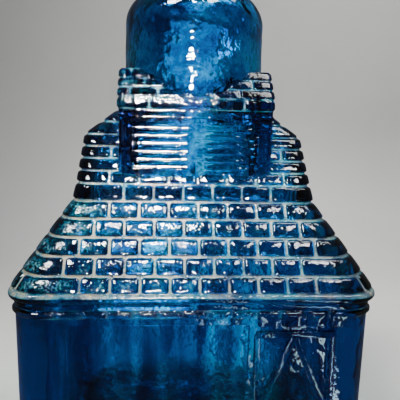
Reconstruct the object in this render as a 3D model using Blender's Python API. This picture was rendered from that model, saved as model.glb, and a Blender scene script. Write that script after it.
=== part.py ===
"""A moulded glass bottle in the shape of an old glass-works house, with a cork stopper.

Metres, +Z up, front towards -Y. The base stands on z = 0 and the neck's axis is the Z axis.
"""

import math

import bmesh
import bpy
from mathutils import Vector
from mathutils.geometry import delaunay_2d_cdt

# Whole bottle; heights are measured from the middle of the eave unless a name says otherwise
EAVE_HALF_WIDTH = 0.0535
EAVE_HALF_DEPTH = 0.0440
EAVE_HEIGHT = 0.0680
GLASS = 0.0030

# Walls; an inset is a distance inward from the eave's outline, the same on all four sides
WALL_INSET = 0.0015
WALL_TAPER = 0.013
WALL_CORNER = 0.0090
BASE_EDGE = 0.0016
PUSH_UP = 0.0035
PUSH_UP_CORNER = 0.0060
BEARING_WIDTH = 0.0060
FLOOR_EDGE = 0.0060

# Row of bricks under the eave
DENTIL_TOP = -0.0043
DENTIL_HEIGHT = 0.0026
DENTIL_PROUD = 0.0009
DENTIL_PITCH = 0.0070
DENTIL_GAP = 0.0014
DENTIL_OFFSET = 0.0030
DOOR_ROW_HEIGHT = 0.0050
DOOR_ROW_SETBACK = 0.0001

# Rolled eave
EAVE_ROLL = 0.0018
EAVE_ROLL_Z = -0.0009
COVE_Z = -0.0030
COVE_REACH = 0.0004
EAVE_CORNER = 0.0095

# Shingled roof: insets where the courses above the first one begin, and where the last one ends
COURSE_RISE = 0.0048
COURSE_INSETS = (0.0038, 0.0071, 0.0104, 0.0138, 0.0171)
FIRST_COURSE_INSET = 0.0010
FIRST_COURSE_Z = 0.0004
SECOND_COURSE_Z = 0.0048
SHINGLE_PITCH = 0.0083
PITCH_GROWTH = 0.00012
SHINGLE_BUTT = 0.0008
JOINT_WIDTH = 0.0012
JOINT_DEPTH = 0.0006
JOINT_OFFSET = 0.0007
JOINT_SHARE = 0.7

# Steep course and the two wings beside the tower; shares are of the steep course's half depth
STEEP_TOP_Z = 0.0290
STEEP_RUN = 0.0018
WING_SETBACK = 0.0010
WING_LEAN = 0.00025
WING_CORNER = 0.0040
WING_COURSES = 4
WING_RISE = 0.0036
WING_SHARE = 0.554
HIP_COURSES = 2
HIP_RISE = 0.0040
HIP_SHARE = 0.307
HIP_MARGIN = 0.0008

# Louvred tower
TOWER_HALF_WIDTH = 0.0236
TOWER_SETBACK = 0.0015
TOWER_CORNER = 0.0022
TOWER_FOOT_Z = 0.0260
TOWER_TOP_Z = 0.0549
TOWER_BAND = 0.0036
TOWER_BUTT = 0.0006
TOWER_BRICK_PITCH = 0.0286
TOWER_ROOF_RISE = 0.0030
TOWER_ROOF_RUN = 0.0029
TOWER_ROOF_COURSES = 3
LINTEL_Z = 0.0490
LINTEL_HEIGHT = 0.0010
LINTEL_PROUD = 0.0003
LOUVRE_COUNT = 6
LOUVRE_BOTTOM_Z = 0.0330
LOUVRE_PITCH = 0.0024
LOUVRE_DEPTH = 0.0011
LOUVRE_SLOPE = 0.85
LOUVRE_SETBACK = 0.0002
LOUVRE_POST = 0.0044
LOUVRE_MULLION = 0.0054
CUTTER_REACH = 0.0040

# Dome, neck and lip
DOME_INSET = 0.0005
SHOULDER_Z = 0.0790
SHOULDER_RADIUS = 0.0110
NECK_BORE = 0.0092
NECK_WALL = 0.0033
NECK_FILLET = 0.0030
NECK_TOP_Z = 0.1130
LIP_PROUD = 0.0033
LIP_HEIGHT = 0.0075
TURN_STEPS = 48

# Inside surfaces: how much of the glass thickness each one gives up, and its corners
ROOF_THINNING = 0.25
WING_THINNING = 0.35
CROWN_SHARE = 0.6
WALL_CORNER_THINNING = 0.67
WING_CORNER_SHARE = 0.8

# Front panel and door
COLUMN_WIDTH = 0.0155
PANEL_TOP = -0.0087
RELIEF_BOTTOM = -0.0600
PANEL_DEPTH = 0.0006
DOOR_MARGIN = 0.0130
DOOR_WIDTH = 0.0210
DOOR_TOP = -0.0125
DOOR_DEPTH = 0.0012
MULLION = 0.0028
FRAME_WIDTH = 0.0020
FRAME_PROUD = 0.0006
HEAD_PROUD = 0.0009
BOARD_WIDTH = 0.0020
RAIL_SINK = 0.0003
LEFT_BRACE_SINK = 0.0005
RIGHT_BRACE_SINK = 0.00066
BAR_BED = 0.0004
BAR_BED_STEP = 0.00005

# Cork
CORK_LENGTH = 0.0260
CORK_TIP_CLEARANCE = 0.0012
CORK_HEAD_PROUD = 0.0006
CORK_ABOVE = 0.0100
CORK_CLEARANCE = 0.0003
CORK_CHAMFER = 0.0006

CORNER_STEPS = 5

# Sizes that follow from those above
STEEP_HALF_DEPTH = EAVE_HALF_DEPTH - COURSE_INSETS[-1] - STEEP_RUN
WING_HALF_WIDTH = EAVE_HALF_WIDTH - COURSE_INSETS[-1] - WING_SETBACK
TOWER_HALF_DEPTH = STEEP_HALF_DEPTH - TOWER_SETBACK
DOME_RADIUS = min(TOWER_HALF_WIDTH, TOWER_HALF_DEPTH) - DOME_INSET
NECK_RADIUS = NECK_BORE + NECK_WALL
LIP_RADIUS = NECK_RADIUS + LIP_PROUD
WALL_HALF_WIDTH = EAVE_HALF_WIDTH - WALL_INSET
PANEL_LEFT = COLUMN_WIDTH - WALL_HALF_WIDTH
DOOR_RIGHT = WALL_HALF_WIDTH - DOOR_MARGIN
DOOR_LEFT = DOOR_RIGHT - DOOR_WIDTH
PANEL_RIGHT = DOOR_LEFT - MULLION


def clear_scene():
    for item in list(bpy.data.objects):
        bpy.data.objects.remove(item, do_unlink=True)


def glass_material():
    made = bpy.data.materials.new("blue_glass")
    made.use_nodes = True
    shader = made.node_tree.nodes["Principled BSDF"]
    shader.inputs["Base Color"].default_value = (0.005, 0.10, 0.32, 1.0)
    shader.inputs["Roughness"].default_value = 0.06
    shader.inputs["Metallic"].default_value = 0.0
    shader.inputs["IOR"].default_value = 1.52
    shader.inputs["Transmission Weight"].default_value = 0.9
    made.diffuse_color = (0.01, 0.16, 0.42, 1.0)
    return made


def cork_material():
    made = bpy.data.materials.new("cork")
    made.use_nodes = True
    shader = made.node_tree.nodes["Principled BSDF"]
    shader.inputs["Base Color"].default_value = (0.47, 0.29, 0.15, 1.0)
    shader.inputs["Roughness"].default_value = 0.85
    shader.inputs["Metallic"].default_value = 0.0
    made.diffuse_color = (0.47, 0.29, 0.15, 1.0)
    return made


# Outlines


def plan(inset):
    """Half width and half depth of a level that lies that far inside the eave's outline."""
    return EAVE_HALF_WIDTH - inset, EAVE_HALF_DEPTH - inset


def joint_places(pitch, offset, limit):
    """Places of the upright joints along one side, at an even pitch from the middle."""
    first = math.ceil((-limit - offset) / pitch)
    last = math.floor((limit - offset) / pitch)
    return [offset + pitch * step for step in range(first, last + 1)]


def side_points(half_length, distance, radius, places, gap, depth):
    """One straight side, running along +x at y = -distance, then the corner after it."""
    points = [(-(half_length - radius), -distance)]
    for place in places:
        points.append((place - gap / 2, -distance))
        points.append((place, -distance + depth))
        points.append((place + gap / 2, -distance))
    centre_x = half_length - radius
    centre_y = -(distance - radius)
    for step in range(CORNER_STEPS):
        angle = math.radians(-90 + 90 * step / CORNER_STEPS)
        points.append((centre_x + radius * math.cos(angle), centre_y + radius * math.sin(angle)))
    return points


def outline(half_width, half_depth, radius, joints=((), ()), gap=JOINT_WIDTH, depth=JOINT_DEPTH):
    """Rounded rectangle, anticlockwise, with V-shaped joints along its straight sides."""
    front = side_points(half_width, half_depth, radius, joints[0], gap, depth)
    right = side_points(half_depth, half_width, radius, joints[1], gap, depth)
    points = list(front)
    points += [(-y, x) for x, y in right]
    points += [(-x, -y) for x, y in front]
    points += [(y, -x) for x, y in right]
    return points


# Stacked rings


def add_ring(mesh, points, height):
    return [mesh.verts.new((x, y, height)) for x, y in points]


def bridge(mesh, lower, upper):
    count = len(lower)
    for index in range(count):
        after = (index + 1) % count
        mesh.faces.new((lower[index], lower[after], upper[after], upper[index]))


def is_inside(point, ring):
    """True where a level point lies inside a closed ring of vertices."""
    inside = False
    for start, end in zip(ring, ring[1:] + ring[:1]):
        if (start.co.y > point.y) != (end.co.y > point.y):
            share = (point.y - start.co.y) / (end.co.y - start.co.y)
            if point.x < start.co.x + share * (end.co.x - start.co.x):
                inside = not inside
    return inside


def step_between(mesh, lower, upper):
    """Level ledge between two rings at one height that have different points."""
    verts = list(lower) + list(upper)
    places = [vert.co.to_2d() for vert in verts]
    edges = []
    for first, count in ((0, len(lower)), (len(lower), len(upper))):
        edges += [(first + index, first + (index + 1) % count) for index in range(count)]
    triangles = delaunay_2d_cdt(places, edges, [], 0, 1e-9)[2]
    for triangle in triangles:
        middle = sum((places[index] for index in triangle), Vector((0.0, 0.0))) / 3
        if is_inside(middle, lower) != is_inside(middle, upper):
            mesh.faces.new([verts[index] for index in triangle])


def finish_mesh(mesh, name, sharp_angle=30.0):
    bmesh.ops.recalc_face_normals(mesh, faces=mesh.faces)
    data = bpy.data.meshes.new(name)
    mesh.to_mesh(data)
    mesh.free()
    data.shade_smooth()
    data.set_sharp_from_angle(angle=math.radians(sharp_angle))
    made = bpy.data.objects.new(name, data)
    bpy.context.collection.objects.link(made)
    return made


def stack_object(name, levels):
    """Closed solid from (height, outline) levels; a changed outline makes a level ledge."""
    mesh = bmesh.new()
    rings = [add_ring(mesh, points, height) for height, points in levels]
    mesh.faces.new(list(reversed(rings[0])))
    for lower, upper in zip(rings, rings[1:]):
        if abs(lower[0].co.z - upper[0].co.z) < 1e-7:
            step_between(mesh, lower, upper)
        else:
            bridge(mesh, lower, upper)
    mesh.faces.new(rings[-1])
    return finish_mesh(mesh, name)


def course_levels(bottom, top, pitch, offsets, gap=JOINT_WIDTH, depth=JOINT_DEPTH):
    """Two levels of one course; each end is (height, half width, half depth, radius)."""
    joints = []
    for side, offset in enumerate(offsets):
        limit = min(end[1 + side] - end[3] for end in (bottom, top)) - gap
        joints.append(joint_places(pitch, offset, limit))
    return [
        (height, outline(half_width, half_depth, radius, joints, gap, depth))
        for height, half_width, half_depth, radius in (bottom, top)
    ]


# Walls, eave and roof


def wall_inset(height):
    """Inset of the plain wall at a height below the eave (height is negative there)."""
    return WALL_INSET - WALL_TAPER * height


def wall_levels():
    levels = []
    foot = -EAVE_HEIGHT
    for share, lift in ((1.0, 0.0), (0.3, 0.3), (0.0, 1.0)):
        edge = BASE_EDGE * share
        points = outline(*plan(wall_inset(foot) + edge), WALL_CORNER - edge)
        levels.append((foot + BASE_EDGE * lift, points))
    bottom_z = DENTIL_TOP - DENTIL_HEIGHT
    levels.append((bottom_z, outline(*plan(wall_inset(bottom_z)), WALL_CORNER)))
    return levels


def dentil_levels():
    """Row of bricks that stands proud of the wall on all four sides."""
    ends = []
    for height in (DENTIL_TOP - DENTIL_HEIGHT, DENTIL_TOP):
        ends.append((height, *plan(wall_inset(height) - DENTIL_PROUD), WALL_CORNER))
    offsets = (DENTIL_OFFSET, 0.0)
    return course_levels(ends[0], ends[1], DENTIL_PITCH, offsets, DENTIL_GAP, DENTIL_PROUD * JOINT_SHARE)


def eave_levels():
    """Cove above the bricks, then the half-round roll of the eave."""
    levels = []
    for height, reach in ((DENTIL_TOP, 0.0), (COVE_Z, COVE_REACH)):
        levels.append((height, outline(*plan(wall_inset(height) - reach), WALL_CORNER)))
    for degrees in (-70, -35, 0, 35):
        angle = math.radians(degrees)
        inset = EAVE_ROLL * (1 - math.cos(angle))
        height = EAVE_ROLL_Z + EAVE_ROLL * math.sin(angle)
        levels.append((height, outline(*plan(inset), EAVE_CORNER)))
    inset = FIRST_COURSE_INSET + SHINGLE_BUTT / 2
    levels.append((FIRST_COURSE_Z, outline(*plan(inset), EAVE_CORNER)))
    return levels


def roof_stops():
    """(height, half width, half depth) where each course of the lower roof begins and ends."""
    stops = [(FIRST_COURSE_Z, *plan(FIRST_COURSE_INSET))]
    for index, inset in enumerate(COURSE_INSETS):
        stops.append((SECOND_COURSE_Z + COURSE_RISE * index, *plan(inset)))
    return stops


def corner_radius(height):
    """Plan radius of the hips, from the eave's down to the tower foot's."""
    share = min(max(height / STEEP_TOP_Z, 0.0), 1.0)
    return EAVE_CORNER + (WING_CORNER - EAVE_CORNER) * share


def shingle_offsets(course, pitch):
    """Joints of neighbouring courses are half a shingle apart."""
    if course % 2 == 0:
        return JOINT_OFFSET, 0.0
    return JOINT_OFFSET - pitch / 2, pitch / 2


def shingle_course(low, high, radii, index):
    """Course that stands out by the shingle's butt at its foot and lies flush at its top."""
    pitch = SHINGLE_PITCH + PITCH_GROWTH * min(index, len(COURSE_INSETS))
    bottom = (low[0], low[1] + SHINGLE_BUTT, low[2] + SHINGLE_BUTT, radii[0])
    return course_levels(bottom, (*high, radii[1]), pitch, shingle_offsets(index, pitch))


def roof_levels():
    levels = []
    stops = roof_stops()
    for index, (low, high) in enumerate(zip(stops, stops[1:])):
        radii = (corner_radius(low[0]), corner_radius(high[0]))
        levels += shingle_course(low, high, radii, index)
    return levels


def wing_stops():
    """(height, half width, half depth) where each course of the steep band and wings begins."""
    stops = [roof_stops()[-1], (STEEP_TOP_Z, WING_HALF_WIDTH, STEEP_HALF_DEPTH)]
    run = STEEP_HALF_DEPTH * (1 - WING_SHARE) / WING_COURSES
    for step in range(WING_COURSES):
        height, half_width, half_depth = stops[-1]
        stops.append((height + WING_RISE, half_width - WING_LEAN, half_depth - run))
    run = STEEP_HALF_DEPTH * (WING_SHARE - HIP_SHARE) / HIP_COURSES
    run_x = (stops[-1][1] - TOWER_HALF_WIDTH - HIP_MARGIN) / HIP_COURSES
    for step in range(HIP_COURSES):
        height, half_width, half_depth = stops[-1]
        stops.append((height + HIP_RISE, half_width - run_x, half_depth - run))
    return stops


def wing_levels():
    """Steep course, then the wings: upright gable ends, sloping front and back, hipped tops."""
    levels = []
    stops = wing_stops()
    for index, (low, high) in enumerate(zip(stops, stops[1:]), start=len(COURSE_INSETS)):
        levels += shingle_course(low, high, (WING_CORNER, WING_CORNER), index)
    return levels


def lower_body():
    levels = wall_levels() + dentil_levels() + eave_levels() + roof_levels() + wing_levels()
    return stack_object("glass_bottle", [(EAVE_HEIGHT + height, points) for height, points in levels])


# Tower


def tower_body():
    """Square tower with a brick course on top and a shingled roof on its front and back."""
    plain = outline(TOWER_HALF_WIDTH, TOWER_HALF_DEPTH, TOWER_CORNER)
    proud = outline(TOWER_HALF_WIDTH + LINTEL_PROUD, TOWER_HALF_DEPTH + LINTEL_PROUD, TOWER_CORNER)
    lintel_top = LINTEL_Z + LINTEL_HEIGHT
    levels = [(TOWER_FOOT_Z, plain), (LINTEL_Z, plain), (LINTEL_Z, proud)]
    levels += [(lintel_top, proud), (lintel_top, plain), (TOWER_TOP_Z - TOWER_BAND, plain)]
    stops = [(TOWER_TOP_Z - TOWER_BAND, TOWER_HALF_DEPTH), (TOWER_TOP_Z, TOWER_HALF_DEPTH)]
    for course in range(TOWER_ROOF_COURSES):
        height, half_depth = stops[-1]
        stops.append((height + TOWER_ROOF_RISE, half_depth - TOWER_ROOF_RUN))
    for course, (low, high) in enumerate(zip(stops, stops[1:])):
        bottom = (low[0], TOWER_HALF_WIDTH + TOWER_BUTT, low[1] + TOWER_BUTT, TOWER_CORNER)
        top = (high[0], TOWER_HALF_WIDTH, high[1], TOWER_CORNER)
        pitch = TOWER_BRICK_PITCH if course == 0 else SHINGLE_PITCH
        offsets = (pitch / 2, pitch / 2) if course == 0 else shingle_offsets(course, pitch)
        levels += course_levels(bottom, top, pitch, offsets, JOINT_WIDTH, TOWER_BUTT * JOINT_SHARE)
    return stack_object("tower", [(EAVE_HEIGHT + z, points) for z, points in levels])


def prism_object(name, outline_points, place):
    """Prism between two faces: place(u, v, side) gives the point for side 0 and side 1."""
    mesh = bmesh.new()
    near = [mesh.verts.new(place(u, v, 0)) for u, v in outline_points]
    far = [mesh.verts.new(place(u, v, 1)) for u, v in outline_points]
    mesh.faces.new(near)
    mesh.faces.new(list(reversed(far)))
    bridge(mesh, near, far)
    return finish_mesh(mesh, name)


def louvre_cutter(facing, hand):
    """Saw-toothed pocket of the left (-1) or right (+1) window, on the front (-1) or back (+1)."""
    face = TOWER_HALF_DEPTH - LOUVRE_SETBACK
    points = [(TOWER_HALF_DEPTH + CUTTER_REACH, LOUVRE_BOTTOM_Z)]
    for index in range(LOUVRE_COUNT):
        low = LOUVRE_BOTTOM_Z + LOUVRE_PITCH * index
        points.append((face, low))
        points.append((TOWER_HALF_DEPTH - LOUVRE_DEPTH, low + LOUVRE_PITCH * LOUVRE_SLOPE))
    top = LOUVRE_BOTTOM_Z + LOUVRE_PITCH * LOUVRE_COUNT
    points.append((face, top))
    points.append((TOWER_HALF_DEPTH + CUTTER_REACH, top))

    def place(distance, height, side):
        across = (LOUVRE_MULLION / 2, TOWER_HALF_WIDTH - LOUVRE_POST)[side]
        return (hand * across, facing * distance, EAVE_HEIGHT + height)

    return prism_object("louvre_pocket", points, place)


# Front wall relief


def on_front_wall(outward, inward):
    """Places a wall outline between two distances from the front wall's own slope."""

    def place(across, height, side):
        distance = plan(wall_inset(height))[1] + (outward, inward)[side]
        return (across, -distance, EAVE_HEIGHT + height)

    return place


def box_outline(left, right, bottom, top):
    return [(left, bottom), (right, bottom), (right, top), (left, top)]


def bar_outline(start, end, width):
    """Outline of a straight bar of even width between two points on the wall."""
    along = Vector((end[0] - start[0], end[1] - start[1])).normalized()
    across = Vector((-along.y, along.x)) * (width / 2)
    return [
        (start[0] - across.x, start[1] - across.y),
        (end[0] - across.x, end[1] - across.y),
        (end[0] + across.x, end[1] + across.y),
        (start[0] + across.x, start[1] + across.y),
    ]


def door_row():
    """Makes the bricks under the eave taller over the door, with the same joints."""
    low = DENTIL_TOP - DOOR_ROW_HEIGHT
    high = DENTIL_TOP - DENTIL_HEIGHT / 2
    face = plan(wall_inset(low) - DENTIL_PROUD + DOOR_ROW_SETBACK)[1]
    right = DOOR_RIGHT + FRAME_WIDTH
    points = [(PANEL_RIGHT, face)]
    for place in joint_places(DENTIL_PITCH, DENTIL_OFFSET, right - DENTIL_GAP):
        if place > PANEL_RIGHT + DENTIL_GAP:
            points.append((place - DENTIL_GAP / 2, face))
            points.append((place, face - DENTIL_PROUD * JOINT_SHARE))
            points.append((place + DENTIL_GAP / 2, face))
    points += [(right, face), (right, face - GLASS), (PANEL_RIGHT, face - GLASS)]

    def place(across, distance, side):
        return (across, -distance, EAVE_HEIGHT + (low, high)[side])

    return prism_object("door_row", points, place)


def wall_cutters():
    """Sunk panel on the left and sunk door on the right."""
    cutters = []
    panel = box_outline(PANEL_LEFT, PANEL_RIGHT, RELIEF_BOTTOM, PANEL_TOP)
    cutters.append(prism_object("panel_pocket", panel, on_front_wall(CUTTER_REACH, -PANEL_DEPTH)))
    door = box_outline(DOOR_LEFT, DOOR_RIGHT, RELIEF_BOTTOM, DOOR_TOP)
    cutters.append(prism_object("door_pocket", door, on_front_wall(CUTTER_REACH, -DOOR_DEPTH)))
    return cutters


def door_bars():
    """Frame, middle rail and the diagonal braces, each set at a level of its own."""
    left = DOOR_LEFT
    right = DOOR_RIGHT
    centre = (left + right) / 2
    middle = (DOOR_TOP + RELIEF_BOTTOM) / 2
    edge = FRAME_WIDTH / 2
    head = DOOR_TOP + edge
    bars = [
        ((left - edge / 2, RELIEF_BOTTOM), (left - edge / 2, head), FRAME_WIDTH, FRAME_PROUD),
        ((right + edge / 2, RELIEF_BOTTOM), (right + edge / 2, head), FRAME_WIDTH, FRAME_PROUD),
        ((left - edge, head), (right + edge, head), FRAME_WIDTH, HEAD_PROUD),
        ((left, middle), (right, middle), BOARD_WIDTH, -RAIL_SINK),
    ]
    for low, high in ((middle, DOOR_TOP), (RELIEF_BOTTOM, middle)):
        bars.append(((centre, high), (left, low), BOARD_WIDTH, -LEFT_BRACE_SINK))
        bars.append(((centre, high), (right, low), BOARD_WIDTH, -RIGHT_BRACE_SINK))
    made = []
    for index, (start, end, width, proud) in enumerate(bars):
        bed = -DOOR_DEPTH - BAR_BED - BAR_BED_STEP * index
        made.append(prism_object("door_bar", bar_outline(start, end, width), on_front_wall(proud, bed)))
    return made


# Turned parts


def turned_object(name, profile, steps=TURN_STEPS):
    """Solid turned round Z from (radius, height) points, bottom first, closed by flat ends."""
    mesh = bmesh.new()
    rings = []
    for radius, height in profile:
        ring = []
        for step in range(steps):
            angle = 2 * math.pi * step / steps
            ring.append(mesh.verts.new((radius * math.cos(angle), radius * math.sin(angle), height)))
        rings.append(ring)
    mesh.faces.new(list(reversed(rings[0])))
    for lower, upper in zip(rings, rings[1:]):
        bridge(mesh, lower, upper)
    mesh.faces.new(rings[-1])
    return finish_mesh(mesh, name)


def arc_points(centre_radius, centre_height, radius, start, end, steps):
    """Points of a round stretch of a profile, angles in degrees from outward to upward."""
    points = []
    for step in range(steps + 1):
        angle = math.radians(start + (end - start) * step / steps)
        points.append((centre_radius + radius * math.cos(angle), centre_height + radius * math.sin(angle)))
    return points


def dome_body():
    profile = [(DOME_RADIUS, TOWER_FOOT_Z)]
    profile += arc_points(DOME_RADIUS - SHOULDER_RADIUS, SHOULDER_Z, SHOULDER_RADIUS, 0, 78, 6)
    neck_foot = SHOULDER_Z + SHOULDER_RADIUS
    profile += arc_points(NECK_RADIUS + NECK_FILLET, neck_foot + NECK_FILLET * 1.1, NECK_FILLET, 240, 180, 3)
    lip_z = NECK_TOP_Z - LIP_HEIGHT
    profile.append((NECK_RADIUS, lip_z))
    roll = LIP_RADIUS - NECK_RADIUS
    profile.append((NECK_RADIUS + roll * 0.75, lip_z + LIP_HEIGHT * 0.12))
    profile.append((LIP_RADIUS, lip_z + LIP_HEIGHT * 0.35))
    profile.append((LIP_RADIUS, lip_z + LIP_HEIGHT * 0.72))
    profile.append((LIP_RADIUS - roll * 0.4, NECK_TOP_Z))
    return turned_object("dome", [(radius, EAVE_HEIGHT + height) for radius, height in profile])


def house_cavity():
    """Smooth inside of the walls, the roof and the wings."""
    levels = []

    def inside(height, half_width, half_depth, radius):
        points = outline(half_width - GLASS, half_depth - GLASS, radius)
        levels.append((EAVE_HEIGHT + height, points))

    floor = PUSH_UP + GLASS - EAVE_HEIGHT
    corner = WALL_CORNER - GLASS * WALL_CORNER_THINNING
    for lift, share in ((0.0, 1.0), (0.2, 0.33), (0.7, 0.0)):
        inset = wall_inset(-EAVE_HEIGHT) + FLOOR_EDGE * share
        inside(floor + FLOOR_EDGE * lift, *plan(inset), corner)
    inside(DENTIL_TOP, *plan(wall_inset(DENTIL_TOP)), corner)
    for height, half_width, half_depth in roof_stops()[1:]:
        narrower = GLASS * ROOF_THINNING
        inside(height, half_width - narrower, half_depth - narrower, corner_radius(height))
    for height, half_width, half_depth in wing_stops()[1:]:
        depth = half_depth - GLASS * WING_THINNING
        corner = min(WING_CORNER, depth - GLASS) * WING_CORNER_SHARE
        inside(height - GLASS * WING_THINNING, half_width, depth, corner)
    return stack_object("house_cavity", levels)


def dome_cavity():
    """Smooth round inside of the tower, the dome, the neck and the mouth."""
    radius = DOME_RADIUS - GLASS
    profile = [(radius, EAVE_HEIGHT + TOWER_FOOT_Z)]
    crown = arc_points(DOME_RADIUS - SHOULDER_RADIUS, SHOULDER_Z, SHOULDER_RADIUS - GLASS, 0, 80, 5)
    profile += [(radius, EAVE_HEIGHT + height) for radius, height in crown]
    inner_end = SHOULDER_Z + SHOULDER_RADIUS - GLASS * CROWN_SHARE
    profile.append((NECK_BORE, EAVE_HEIGHT + inner_end))
    profile.append((NECK_BORE, EAVE_HEIGHT + NECK_TOP_Z + CUTTER_REACH))
    return turned_object("dome_cavity", profile)


def push_up_body():
    """Hollow under the base that leaves a flat bearing ring round it."""
    edge = wall_inset(-EAVE_HEIGHT) + BEARING_WIDTH
    levels = [(-CUTTER_REACH, outline(*plan(edge), PUSH_UP_CORNER))]
    for lift, slope in ((0.0, 0.0), (0.7, 1.2), (1.0, 3.4)):
        points = outline(*plan(edge + PUSH_UP * slope), PUSH_UP_CORNER)
        levels.append((PUSH_UP * lift, points))
    return stack_object("push_up", levels)


# Joining


def combine(body, tool, operation):
    modifier = body.modifiers.new(operation.lower(), "BOOLEAN")
    modifier.operation = operation
    modifier.solver = "EXACT"
    modifier.object = tool
    bpy.context.view_layer.update()
    graph = bpy.context.evaluated_depsgraph_get()
    data = bpy.data.meshes.new_from_object(body.evaluated_get(graph))
    body.modifiers.clear()
    old = body.data
    body.data = data
    bpy.data.meshes.remove(old)
    bpy.data.objects.remove(tool, do_unlink=True)


def tidy_surface(body, sharp_angle=30.0):
    """Welds slivers left by the joining and sets the smooth shading again."""
    mesh = bmesh.new()
    mesh.from_mesh(body.data)
    bmesh.ops.remove_doubles(mesh, verts=mesh.verts, dist=0.00001)
    bmesh.ops.dissolve_degenerate(mesh, dist=0.00001, edges=mesh.edges)
    mesh.to_mesh(body.data)
    mesh.free()
    body.data.shade_smooth()
    body.data.set_sharp_from_angle(angle=math.radians(sharp_angle))


def make_bottle(material):
    bottle = lower_body()
    combine(bottle, tower_body(), "UNION")
    combine(bottle, dome_body(), "UNION")
    for facing in (-1, 1):
        for hand in (-1, 1):
            combine(bottle, louvre_cutter(facing, hand), "DIFFERENCE")
    combine(bottle, door_row(), "UNION")
    for cutter in wall_cutters():
        combine(bottle, cutter, "DIFFERENCE")
    for bar in door_bars():
        combine(bottle, bar, "UNION")
    combine(bottle, push_up_body(), "DIFFERENCE")
    combine(bottle, house_cavity(), "DIFFERENCE")
    combine(bottle, dome_cavity(), "DIFFERENCE")
    tidy_surface(bottle)
    bottle.data.materials.append(material)
    return bottle


def make_cork(material):
    """Tapered cork whose wide top stands above the lip."""
    top = EAVE_HEIGHT + NECK_TOP_Z + CORK_ABOVE
    bottom = top - CORK_LENGTH
    mouth = EAVE_HEIGHT + NECK_TOP_Z
    seat_radius = NECK_BORE - CORK_CLEARANCE
    tip_radius = NECK_BORE - CORK_TIP_CLEARANCE
    head_radius = NECK_BORE + CORK_HEAD_PROUD
    profile = [
        (tip_radius - CORK_CHAMFER, bottom),
        (tip_radius, bottom + CORK_CHAMFER),
        (seat_radius, mouth),
        (head_radius, top - CORK_CHAMFER),
        (head_radius - CORK_CHAMFER, top),
    ]
    cork = turned_object("cork_stopper", [(radius, height - bottom) for radius, height in profile])
    cork.location = (0.0, 0.0, bottom)
    cork.data.materials.append(material)
    return cork


def main():
    clear_scene()
    bottle = make_bottle(glass_material())
    cork = make_cork(cork_material())
    cork.parent = bottle


main()
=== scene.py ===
"""Fine visual model of the house-shaped blue glass bottle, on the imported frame. Metres."""

import math

import bmesh
import bpy
import numpy as np
from mathutils import Matrix, Vector, noise
from mathutils.geometry import delaunay_2d_cdt


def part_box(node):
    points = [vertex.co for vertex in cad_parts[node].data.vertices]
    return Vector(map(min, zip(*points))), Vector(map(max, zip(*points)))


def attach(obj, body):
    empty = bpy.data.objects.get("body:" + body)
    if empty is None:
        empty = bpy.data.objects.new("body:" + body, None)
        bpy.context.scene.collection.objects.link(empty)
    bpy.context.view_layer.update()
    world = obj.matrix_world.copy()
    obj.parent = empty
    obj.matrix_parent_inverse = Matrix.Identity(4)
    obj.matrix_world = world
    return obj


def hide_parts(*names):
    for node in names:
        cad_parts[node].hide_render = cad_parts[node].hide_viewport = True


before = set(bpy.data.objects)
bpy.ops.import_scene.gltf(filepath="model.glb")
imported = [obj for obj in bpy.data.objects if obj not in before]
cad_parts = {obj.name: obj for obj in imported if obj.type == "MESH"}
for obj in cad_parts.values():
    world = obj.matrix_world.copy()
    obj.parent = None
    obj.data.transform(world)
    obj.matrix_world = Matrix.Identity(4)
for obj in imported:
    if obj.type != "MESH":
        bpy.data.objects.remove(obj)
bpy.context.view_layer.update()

# Whole bottle; heights are measured from the eave unless a name says otherwise
EAVE_HEIGHT = 0.0680
EAVE_HALF_WIDTH = 0.0535
EAVE_HALF_DEPTH = 0.0440
GLASS = 0.0030

# Walls and the row of bricks
WALL_HALF_WIDTH = 0.0520
WALL_TAPER = 0.013
WALL_CORNER = 0.0090
BASE_EDGE = 0.0016
PUSH_UP = 0.0035
PUSH_UP_CORNER = 0.0060
PUSH_UP_RUN = 0.0160
BEARING_WIDTH = 0.0060
FLOOR_EDGE = 0.0060
ROOM_CORNER_EXTRA = 0.0035
ROOM_ROOF_SHARE = 0.25
ROOM_WING_SHARE = 0.35
DENTIL_TOP = -0.0043
DENTIL_HEIGHT = 0.0026
DENTIL_PROUD = 0.0008
DENTIL_PITCH = 0.0070
DENTIL_OFFSET = 0.0030
DENTIL_FROST = 0.6
DOOR_ROW_HEIGHT = 0.0050
DOOR_ROW_BRICKS = 4
DOOR_ROW_GAP = 0.0008
DOOR_ROW_ROUND = 0.0005
DOOR_ROW_BED = 0.0010

# Eave and roof
EAVE_ROLL = 0.0018
EAVE_ROLL_Z = -0.0009
EAVE_ROLL_START = -75
EAVE_ROLL_TURN = 115
EAVE_CORNER = 0.0095
EAVE_ROLL_FROST = 0.85
EAVE_TOP_FROST = 0.9
EAVE_FROST = 0.82
EAVE_WORN_START = -12
EAVE_WORN_TURN = 30
COVE_Z = -0.0032
COVE_FOOT_Z = -0.0038
COVE_FOOT_REACH = 0.0001
COVE_REACH = 0.0003
FIRST_COURSE_HALF_WIDTH = 0.0525
FIRST_COURSE_Z = 0.0004
SECOND_COURSE_Z = 0.0048
COURSE_RISE = 0.0048
COURSE_HALF_WIDTHS = (0.0497, 0.0464, 0.0431, 0.0397, 0.0364)
SHINGLE_PITCH = 0.0083
PITCH_GROWTH = 0.00012
BRICK_PROUD = 0.00090
BRICK_CROWN = 0.25
BRICK_EDGE = 0.00075
BRICK_FULLNESS = 0.7
MORTAR_HALF = 0.00022
MORTAR_STEP = 0.00006
JOINT_OFFSET = 0.0007
JOINT_REACH = 0.00100
JOINT_MARGIN = 1.2
JOINT_FLAT = 0.22
JOINT_MEETING = 1.5
STATION_STEP = 0.0011
FIRST_CORNER_JOINTS = (-52.0,)

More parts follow.
